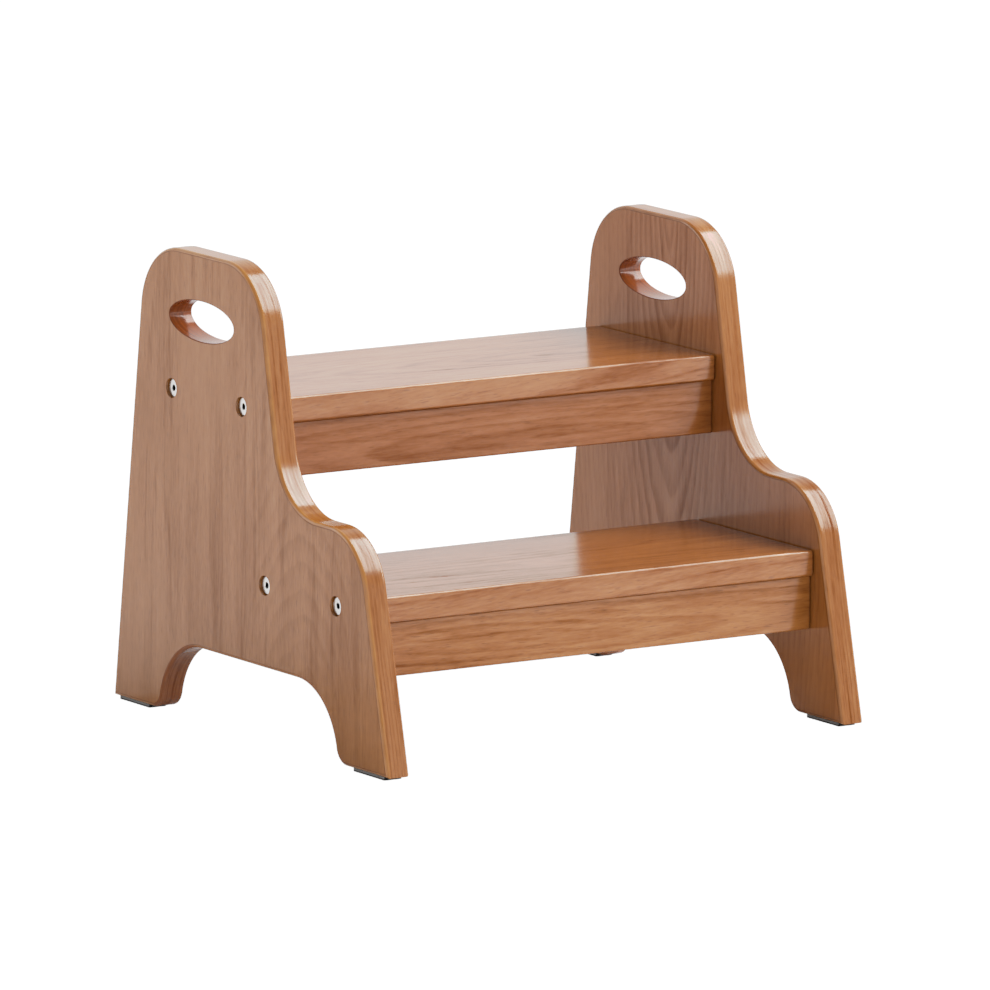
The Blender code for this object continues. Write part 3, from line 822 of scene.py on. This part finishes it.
def round_board_edges(skin, low, high, radius):
    """Quarter cylinders along a board's twelve edges."""
    for axis in range(3):
        first, second = [other for other in range(3) if other != axis]
        for sign_a, sign_b in product((-1, 1), repeat=2):
            start = low.copy()
            start[first] = low[first] if sign_a < 0 else high[first]
            start[second] = low[second] if sign_b < 0 else high[second]
            end = start.copy()
            end[axis] = high[axis]
            spokes = []
            for turn in quarter_turns():
                spoke = Vector()
                spoke[first] = sign_a * math.cos(turn)
                spoke[second] = sign_b * math.sin(turn)
                spokes.append(spoke)
            for near, far in zip(spokes, spokes[1:]):
                skin.add([(start + near * radius, near, (0, 0)), (end + near * radius, near, (1, 0)),
                          (end + far * radius, far, (1, 1)), (start + far * radius, far, (0, 1))])


def round_board_corners(skin, low, high, radius):
    """Eighths of a ball at a board's eight corners."""
    for signs in product((-1, 1), repeat=3):
        centre = Vector([low[i] if signs[i] < 0 else high[i] for i in range(3)])
        rows = [[Vector((signs[0] * math.cos(turn) * math.cos(rise),
                         signs[1] * math.sin(turn) * math.cos(rise),
                         signs[2] * math.sin(rise))) for turn in quarter_turns()]
                for rise in quarter_turns()]
        for lower, upper in zip(rows, rows[1:]):
            for number in range(ROUND_SEGMENTS):
                patch = (lower[number], lower[number + 1], upper[number + 1], upper[number])
                skin.add([(centre + spoke * radius, spoke, (0, 0)) for spoke in patch])


def tread_holes(step):
    """Bolt and peg holes in a tread's ends, and nut and peg holes in its underside."""
    low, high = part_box(f"{step}_tread")
    holes = {"left": [], "right": [], "bottom": []}
    for side_name in SIDES:
        for name in bolt_names(step):
            nut = middle(f"barrel_nut_{side_name}_{name}")
            depth = high.x - abs(nut.x) - NUT_HOLE_RADIUS
            holes[side_name].append((nut.yz, [(BOLT_HOLE_RADIUS, depth)], HOLE_SIDES))
            holes["bottom"].append((nut.xy, [(NUT_HOLE_RADIUS, NUT_HOLE_DEPTH)], CIRCLE_SIDES))
        holes[side_name].append(peg_hole(f"tread_dowel_{side_name}_{step}", high.x))
    holes["bottom"] += upright_peg_holes(step, low.z, upward=True)
    return holes


def apron_holes(step):
    """Peg holes in an apron's ends and top."""
    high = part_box(f"{step}_apron")[1]
    holes = {name: [peg_hole(f"apron_end_dowel_{name}_{step}", high.x)] for name in SIDES}
    holes["top"] = upright_peg_holes(step, high.z, upward=False)
    return holes


# ---- Bolts, nuts and pegs ----

HEAD_RADIUS = 0.0063
HEAD_ROUND = 0.0005
SHANK_RADIUS = 0.0029
THREAD_LENGTH = 0.030
THREAD_PITCH = 0.001
THREAD_DEPTH = 0.0005
SOCKET_HALF_FLATS = 0.0020
SOCKET_DEPTH = 0.0020
SOCKET_CHAMFER = 0.00035
SOCKET_CORNER = 0.0002
THREAD_SIDES = 24
THREAD_ROWS_PER_TURN = 6
TIP_ROWS = 12
FIRST_BOLT_SPIN = 0.4
BOLT_SPIN_STEP = 0.7
PEG_FLUTES = 12
PEG_FLUTE_DEPTH = 0.00018
PEG_CHAMFER = 0.0008
NUT_CHAMFER = 0.0005
NUT_SLOT_HALF_WIDTH = 0.0007
NUT_SLOT_DEPTH = 0.0015
PAD_SOFTNESS = 0.0004
PAD_CORNER_RADIUS = 0.0012


def socket_loop():
    """Loop round the bolt's hollow hexagon, with slightly rounded corners."""
    reach = SOCKET_HALF_FLATS / math.cos(math.pi / 6)
    corners = []
    for number in range(6):
        angle = math.pi * number / 3
        corners.append(((reach * math.cos(angle), reach * math.sin(angle)), SOCKET_CORNER))
    loop = rounded_loop(corners, math.radians(12))
    loop.before = [-normal for normal in loop.before]
    loop.after = [-normal for normal in loop.after]
    return loop


def bolt_mesh(materials):
    """A connector bolt: its head's face is at x = 0 and its shank points along -X."""
    skin = Skin()
    head = circle_loop((0, 0), HEAD_RADIUS, False)
    crown = arc_strip(-HEAD_ROUND, HEAD_ROUND, HEAD_ROUND, 0, math.pi / 2, 4)
    shank_inset = HEAD_RADIUS - SHANK_RADIUS
    under = [(-HEAD_THICKNESS, shank_inset, -math.pi / 2), (-HEAD_THICKNESS, 0.0, -math.pi / 2)]
    sweep(skin, LYING, head, [under, [(-HEAD_THICKNESS, 0.0, 0.0), (-HEAD_ROUND, 0.0, 0.0)], crown])
    socket = socket_loop()
    slope = [(0.0, SOCKET_CHAMFER, math.pi / 4), (-SOCKET_CHAMFER, 0.0, math.pi / 4)]
    wall = [(-SOCKET_CHAMFER, 0.0, 0.0), (-SOCKET_DEPTH, 0.0, 0.0)]
    sweep(skin, LYING, socket, [slope])
    # The socket's wall, and its floor below, take the second material: near-black painted shade.
    sweep(skin, LYING, socket, [wall], slot=1)
    flat_face(skin, LYING, 0.0, [head.inset(HEAD_ROUND), socket.inset(SOCKET_CHAMFER)])
    flat_face(skin, LYING, -SOCKET_DEPTH, [socket.points], slot=1)
    low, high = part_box("tread_bolt_right_upper_front")
    add_shank(skin, high.x - low.x)
    return take_mesh(skin.build("bolt_pattern", materials))


def add_shank(skin, length):
    """A smooth neck and a screw thread down to the bolt's pointed tip."""
    thread_start = length - THREAD_LENGTH
    shank = circle_loop((0, 0), SHANK_RADIUS, False, THREAD_SIDES)
    sweep(skin, LYING, shank, [[(-thread_start, 0.0, 0.0), (-HEAD_THICKNESS, 0.0, 0.0)]])
    rows = []
    count = round(THREAD_LENGTH / THREAD_PITCH * THREAD_ROWS_PER_TURN)
    for row in range(count + 1):
        down = thread_start + THREAD_LENGTH * row / count
        fade = min(1.0, 12 * row / count, (count - row) / TIP_ROWS)
        point_in = max(0.0, (TIP_ROWS - (count - row)) / TIP_ROWS) * THREAD_DEPTH
        ring = []
        for number in range(THREAD_SIDES):
            angle = 2 * math.pi * number / THREAD_SIDES
            phase = (down / THREAD_PITCH + number / THREAD_SIDES) % 1.0
            groove = THREAD_DEPTH * abs(2 * phase - 1) * fade
            radius = SHANK_RADIUS - groove - point_in
            spoke = Vector((math.cos(angle), math.sin(angle)))
            slope = (1 if phase > 0.5 else -1) * 0.7 * fade
            ring.append((LYING.point(spoke * radius, -down), LYING.direction(spoke, slope), (0, 0)))
        rows.append(ring)
    for upper, lower in zip(rows, rows[1:]):
        for number in range(THREAD_SIDES):
            after = (number + 1) % THREAD_SIDES
            skin.add([upper[number], upper[after], lower[after], lower[number]])
    skin.add([(point, LYING.direction((0, 0), -1), uv) for point, _, uv in rows[-1]])


def build_bolts(materials):
    """Eight bolts, two through each side panel into each tread."""
    mesh = bolt_mesh(materials)
    for side_name, side in SIDES.items():
        turn = Matrix.Rotation(0.0 if side > 0 else math.pi, 4, "Z")
        for number, name in enumerate(bolt_names()):
            node = f"tread_bolt_{side_name}_{name}"
            spot = middle(node)
            spot.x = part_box(node)[1 if side > 0 else 0].x
            spin = Matrix.Rotation(FIRST_BOLT_SPIN + BOLT_SPIN_STEP * number, 4, "X")
            place_copy(node, mesh, Matrix.Translation(spot) @ turn @ spin)


def peg_mesh(name, radius, length, material):
    """A fluted wooden peg with chamfered ends, lying along X about its own middle."""
    sides = PEG_FLUTES * 4
    skin = Skin()
    half = length / 2
    wall = half - PEG_CHAMFER
    points = []
    normals = []
    for number in range(sides):
        angle = 2 * math.pi * number / sides
        dip = PEG_FLUTE_DEPTH * (0.5 - 0.5 * math.cos(angle * PEG_FLUTES)) ** 2
        spoke = Vector((math.cos(angle), math.sin(angle)))
        points.append(spoke * (radius - dip))
        normals.append(spoke)
    tilt = math.pi / 4
    capped_sweep(skin, LYING, Loop(points, normals, normals), [
        [(-half, PEG_CHAMFER, -tilt), (-wall, 0.0, -tilt)],
        [(-wall, 0.0, 0.0), (wall, 0.0, 0.0)],
        [(wall, 0.0, tilt), (half, PEG_CHAMFER, tilt)],
    ])
    return take_mesh(skin.build(name, [material]))


def build_pegs(material):
    """Every wooden peg, at its CAD node's place."""
    sizes = {}
    upright = Matrix.Rotation(math.pi / 2, 4, "Y")
    for node in sorted(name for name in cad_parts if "dowel" in name):
        low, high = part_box(node)
        size = high - low
        standing = size.z > size.x
        length = size.z if standing else size.x
        radius = (size.x if standing else size.z) / 2
        key = (round(length, 4), round(radius, 4))
        if key not in sizes:
            sizes[key] = peg_mesh(f"peg_{len(sizes)}", radius, length, material)
        turn = upright if standing else Matrix.Identity(4)
        place_copy(node, sizes[key], Matrix.Translation((low + high) / 2) @ turn)


# ---- Nuts and foot pads ----

def apply_cut(piece, cutter):
    """Cut a shape out of a piece for good."""
    cut = piece.modifiers.new("cut", "BOOLEAN")
    cut.operation = "DIFFERENCE"
    cut.solver = "EXACT"
    cut.object = cutter
    bpy.context.view_layer.update()
    evaluated = piece.evaluated_get(bpy.context.evaluated_depsgraph_get())
    mesh = bpy.data.meshes.new_from_object(evaluated)
    piece.modifiers.clear()
    piece.data = mesh
    bpy.data.objects.remove(cutter)


def lathe(name, profile, plane, material, sides=CIRCLE_SIDES):
    """A turned solid from its profile of (height, radius)."""
    skin = Skin()
    widest = max(radius for _, radius in profile)
    strips = []
    for (low, low_radius), (high, high_radius) in zip(profile, profile[1:]):
        angle = math.atan2(low_radius - high_radius, high - low)
        strips.append([(low, widest - low_radius, angle), (high, widest - high_radius, angle)])
    capped_sweep(skin, plane, circle_loop((0, 0), widest, False, sides), strips)
    return skin.build(name, [material])


def nut_mesh(material):
    """A cross dowel nut, standing along Z, with a bolt hole across it and a slot in its foot."""
    low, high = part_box("barrel_nut_right_upper_front")
    radius = (high.x - low.x) / 2
    half = (high.z - low.z) / 2
    profile = [(-half, radius - NUT_CHAMFER), (-half + NUT_CHAMFER, radius),
               (half - NUT_CHAMFER, radius), (half, radius - NUT_CHAMFER)]
    nut = lathe("nut_blank", profile, STANDING, material)
    bore = [(-2 * radius, BOLT_HOLE_RADIUS), (2 * radius, BOLT_HOLE_RADIUS)]
    apply_cut(nut, lathe("nut_bore", bore, LYING, material, 32))
    width = NUT_SLOT_HALF_WIDTH
    slot_skin = Skin()
    slot_loop = rounded_loop([((-2 * radius, -width), 0), ((2 * radius, -width), 0),
                              ((2 * radius, width), 0), ((-2 * radius, width), 0)])
    capped_sweep(slot_skin, STANDING, slot_loop,
                 [[(-2 * half, 0.0, 0.0), (-half + NUT_SLOT_DEPTH, 0.0, 0.0)]])
    apply_cut(nut, slot_skin.build("nut_slot", [material]))
    nut.data.shade_smooth()
    nut.data.set_sharp_from_angle(angle=math.radians(30))
    return take_mesh(nut)


def build_nuts(material):
    """Eight cross dowel nuts in the treads' undersides."""
    mesh = nut_mesh(material)
    for side_name in SIDES:
        for name in bolt_names():
            node = f"barrel_nut_{side_name}_{name}"
            place_copy(node, mesh, Matrix.Translation(middle(node)))


def build_pads(material):
    """A rubber strip with softened edges under each leg, pressed flat against the wood."""
    for side_name, end in product(SIDES, ENDS):
        node = f"foot_pad_{side_name}_{end}"
        low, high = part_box(node)
        centre = (low + high) / 2
        half = (high - low) / 2
        skin = Skin()
        plane = Plane((centre.x, centre.y, 0), STANDING.u, STANDING.v, STANDING.facing)
        signs = ((-1, -1), (1, -1), (1, 1), (-1, 1))
        loop = rounded_loop([((a * half.x, b * half.y), PAD_CORNER_RADIUS) for a, b in signs],
                            math.radians(15))
        start = arc_strip(low.z + PAD_SOFTNESS, PAD_SOFTNESS, PAD_SOFTNESS, -math.pi / 2, 0, 4)
        capped_sweep(skin, plane, loop, [start, [start[-1], (FOOT_Z, 0.0, 0.0)]])
        settle(skin.build(f"{node}_skin", [material]), node)


# ---- Stage ----

CAMERA_YAW = math.radians(32.684)
CAMERA_PITCH = math.radians(9.918)
CAMERA_ROLL = math.radians(0.249)
CAMERA_DISTANCE = 9.194
CAMERA_LENS = 479.68
AIM_OFFSET = Vector((0.0184, 0.0192, -0.0161))
BACKDROP_LIGHT = 1.12
CEILING_LIGHT = 0.35
SEEN_WHITE = 1.6
FAR_FLOOR_GLOW = 0.45
STAGE_REACH = 30
TONE_CURVE = ((0.0, 0.0), (0.42, 0.42), (0.56, 0.52), (0.75, 0.645), (0.95, 0.70), (1.45, 1.0))


def add_camera(centre):
    """A long lens, a little above the stool and to the left of its front."""
    forward = Vector((math.sin(CAMERA_YAW) * math.cos(CAMERA_PITCH),
                      math.cos(CAMERA_YAW) * math.cos(CAMERA_PITCH), -math.sin(CAMERA_PITCH)))
    level = Vector((math.cos(CAMERA_YAW), -math.sin(CAMERA_YAW), 0))
    rising = level.cross(forward)
    right = level * math.cos(CAMERA_ROLL) + rising * math.sin(CAMERA_ROLL)
    up = rising * math.cos(CAMERA_ROLL) - level * math.sin(CAMERA_ROLL)
    data = bpy.data.cameras.new("camera")
    data.lens = CAMERA_LENS
    data.sensor_width = 36
    data.clip_end = 100
    camera = add_object("camera", data)
    turn = Matrix((right, up, -forward)).transposed().to_4x4()
    camera.matrix_world = Matrix.Translation(centre + AIM_OFFSET - forward * CAMERA_DISTANCE) @ turn
    bpy.context.scene.camera = camera


def aimed_light(name, aim, azimuth, elevation, distance, size, power):
    """A square soft light that faces the stool, given by where it stands; the lens misses it."""
    data = bpy.data.lights.new(name, "AREA")
    data.shape = "SQUARE"
    data.size = size
    data.energy = power
    light = add_object(name, data)
    side = math.radians(azimuth)
    rise = math.radians(elevation)
    away = Vector((math.sin(side) * math.cos(rise), -math.cos(side) * math.cos(rise),
                   math.sin(rise)))
    light.matrix_world = (Matrix.Translation(aim + away * distance)
                          @ away.to_track_quat("Z", "Y").to_matrix().to_4x4())
    light.visible_camera = False


def add_backdrop():
    """White surroundings, darker towards the ceiling; the lens sees only plain white."""
    world = bpy.data.worlds.new("backdrop")
    bpy.context.scene.world = world
    world.use_nodes = True
    nodes = Nodes.of_tree(world.node_tree)
    _, y, z = nodes.split(nodes.texture_place("Generated"))
    behind = nodes.spread(y, 0.0, 0.6, 0.0, 0.38, smooth=True)
    height = nodes.minus(z, behind)
    dim = nodes.spread(height, 0.22, 0.55, 0.0, 1.0, smooth=True)
    level = nodes.times_plus(dim, CEILING_LIGHT - BACKDROP_LIGHT, BACKDROP_LIGHT)
    seen = nodes.make("ShaderNodeLightPath").outputs["Is Camera Ray"]
    extra = nodes.minus(SEEN_WHITE, level)
    strength = nodes.times_plus(seen, extra, level)
    background = world.node_tree.nodes["Background"]
    background.inputs["Color"].default_value = (1, 1, 1, 1)
    nodes.plug(background.inputs["Strength"], strength)


def stage_plane(name, height, colour, glow):
    """One large plane of the stage, with a matt colour and a glow of its own."""
    mesh = bpy.data.meshes.new(name)
    signs = ((-1, -1), (1, -1), (1, 1), (-1, 1))
    corners = [(a * STAGE_REACH, b * STAGE_REACH, height) for a, b in signs]
    mesh.from_pydata(corners, [], [(0, 1, 2, 3)])
    thing = add_object(name, mesh)
    nodes = Nodes(name)
    nodes.finish(Base_Color=(colour,) * 3, Roughness=0.9, Specular_IOR_Level=0.0,
                 Emission_Color=(1.0, 1.0, 1.0), Emission_Strength=glow)
    mesh.materials.append(nodes.material)
    return thing


def add_floor():
    """A pale floor: one plane is seen, and one just under it gives the stool its bounced light."""
    seen = stage_plane("floor", 0.0, 0.05, SEEN_WHITE - 0.10)
    seen.visible_diffuse = False
    seen.visible_glossy = False
    seen.visible_shadow = False
    bounce = stage_plane("floor_bounce", -0.0002, 0.75, 0.0)
    bounce.visible_camera = False
    nodes = Nodes.of_tree(bounce.data.materials[0].node_tree)
    place = nodes.scaled(nodes.texture_place(), (1, 1, 0))
    distance = nodes.make("ShaderNodeVectorMath", operation="LENGTH")
    nodes.plug(distance.inputs[0], place)
    glow = nodes.spread(distance.outputs["Value"], 0.3, 1.9, 0.0, FAR_FLOOR_GLOW)
    nodes.plug(nodes.tree.nodes["Principled BSDF"].inputs["Emission Strength"], glow)


def set_tones():
    """Plain colours with a soft shoulder on the bright tones, and the backdrop at full white."""
    view = bpy.context.scene.view_settings
    view.view_transform = "Standard"
    view.use_curve_mapping = True
    mapping = view.curve_mapping
    mapping.clip_max_x = TONE_CURVE[-1][0]
    curve = mapping.curves[3]
    curve.points[0].location = TONE_CURVE[0]
    curve.points[-1].location = TONE_CURVE[-1]
    for x, y in TONE_CURVE[1:-1]:
        curve.points.new(x, y)
    for point in curve.points:
        point.handle_type = "VECTOR"
    mapping.update()


PANEL_RINGS = {
    "left": dict(pith=(0.071, 0.285), spacing=0.0040, tilt=0.21, wander=0.008),
    "right": dict(pith=(-0.042, -0.245), spacing=0.0060, tilt=0.20, wander=0.008),
}
TREAD_RINGS = {
    "upper": dict(pith=(-0.045, -0.222), spacing=0.0070, tilt=-0.050, wander=0.005),
    "lower": dict(pith=(0.085, -0.104), spacing=0.0066, tilt=0.040, wander=0.005),
}
APRON_RINGS = {
    "upper": dict(pith=(-0.196, 0.0125), spacing=0.0052, tilt=0.060, wander=0.005),
    "lower": dict(pith=(-0.078, 0.1450), spacing=0.0056, tilt=0.055, wander=0.005),
}
FACE_LOOKS = {
    "left": dict(figure=0.6, contrast=1.0, tone=-0.03, red=0.05, ior=FACE_LACQUER_IOR),
    # The right panel's much larger share of red stain darkens and reddens it: painted shade, as its
    # inner face stands in the stool's shade.
    "right": dict(figure=2.4, contrast=0.70, red=0.40, ior=1.42),
}
TREAD_LOOKS = {
    "upper": dict(contrast=1.3, tone=0.02, red=0.45, ior=1.56),
    "lower": dict(contrast=1.3, tone=-0.05, red=0.45, ior=1.57),
}
APRON_LOOKS = {
    "upper": dict(contrast=0.85, tone=-0.13, red=0.5),
    "lower": dict(contrast=1.2, tone=0.0, red=0.25),
}
# Per panel: the painted highlight on the rim's inner corner, on its outer corner, and the rim's tone.
RIM_LOOKS = {"left": (0.0, 1.0, -0.04), "right": (0.30, 0.0, -0.16)}


def build_woodwork():
    """The panels, treads and aprons, each cut from its own piece of wood."""
    for number, (side_name, side) in enumerate(SIDES.items()):
        face = wood(f"panel_face_{side_name}", (2, 1, 0), PANEL_RINGS[side_name],
                    **FACE_LOOKS[side_name])
        rim = rim_wood(f"panel_rim_{side_name}", (3.7 * number, 0.4 * number, 0.0),
                       *RIM_LOOKS[side_name])
        slot = slot_wood(f"panel_slot_{side_name}", (1.3 + number, 0.0, 0.0))
        build_panel(side_name, side, [face, rim, slot])
    for step in STEPS:
        tread = wood(f"{step}_tread_wood", (0, 1, 2), TREAD_RINGS[step], PANEL_INNER_X,
                     slope=-0.08, **TREAD_LOOKS[step])
        apron = wood(f"{step}_apron_wood", (0, 2, 1), APRON_RINGS[step], PANEL_INNER_X,
                     slope=0.02, **APRON_LOOKS[step])
        build_board(f"{step}_tread", TREAD_ROUNDING, tread_holes(step), tread)
        build_board(f"{step}_apron", APRON_ROUNDING, apron_holes(step), apron)


def main():
    """Build the stool's pieces and its stage."""
    centre = (CAD_BOX[0] + CAD_BOX[1]) / 2
    set_tones()
    add_camera(centre)
    aimed_light("softbox", centre, 68, 46, 2.6, 2.60, 168.0)
    aimed_light("left_fill", centre, -130, 25, 2.2, 1.3, 7.5)
    add_backdrop()
    add_floor()
    build_woodwork()
    # The bolts' second material, near-black on the socket's wall and floor, is painted shade in the
    # recess.
    build_bolts([plated_steel("bolt_nickel", (0.80, 0.79, 0.77), 0.24),
                 plated_steel("bolt_socket_painted_shade", (0.035, 0.038, 0.042), 0.45)])
    build_nuts(plated_steel("nut_zinc", (0.56, 0.57, 0.58), 0.36))
    build_pegs(pale_wood())
    build_pads(black_rubber())


main()
